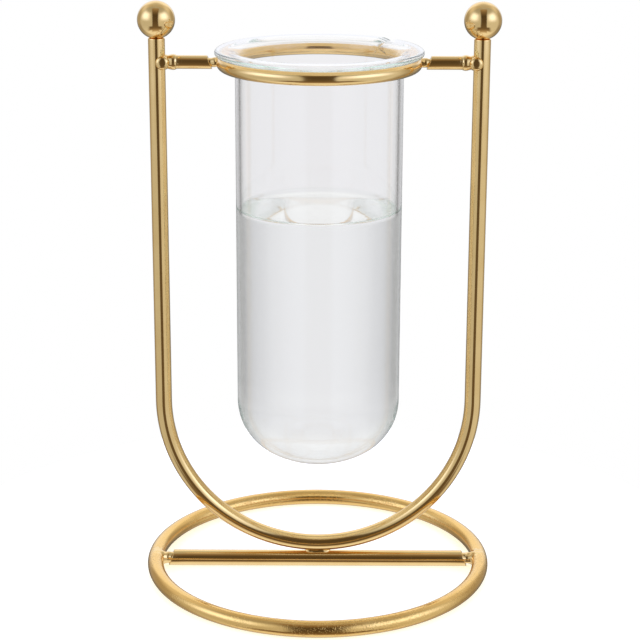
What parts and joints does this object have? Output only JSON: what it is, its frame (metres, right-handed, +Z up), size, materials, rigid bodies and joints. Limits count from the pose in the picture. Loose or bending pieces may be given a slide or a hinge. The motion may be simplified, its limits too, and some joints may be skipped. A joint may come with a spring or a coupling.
{
  "type": "test tube vase",
  "caption": "Round-bottomed glass tube vase with a flared, spouted rim, hanging in a wire ring on a bent gold rod stand with ball finials and a round wire base.",
  "frame": {"origin": "centre of the base ring, on the surface that the ring rests on", "axes": "+Z up along the tube, +X to the right through both legs, +Y to the back; the front faces -Y"},
  "size_m": [0.108, 0.108, 0.1793],
  "materials": {
    "gold_plating": "polished pale gold plating on welded rod",
    "weld_bead": "plated weld bead, slightly uneven",
    "clear_glass": "clear drawn glass"
  },
  "bodies": {
    "stand": {"base_ring": "gold_plating", "base_crossbar": "gold_plating", "u_frame": "gold_plating", "frame_foot_weld": "weld_bead", "crossbar_weld_left": "weld_bead", "crossbar_weld_right": "weld_bead", "holder_ring": "gold_plating", "ring_arm_left": "gold_plating", "ring_arm_right": "gold_plating", "ring_weld_left": "weld_bead", "ring_weld_right": "weld_bead", "leg_weld_left": "weld_bead", "leg_weld_right": "weld_bead", "finial_ball_left": "gold_plating", "finial_ball_right": "gold_plating"},
    "tube": {"glass_tube": "clear_glass"}
  },
  "joints": [
    {"name": "tube_lift", "type": "slide", "parent": "stand", "child": "tube", "axis": [0, 0, 1], "range_m": [0, 0.145]}
  ]
}
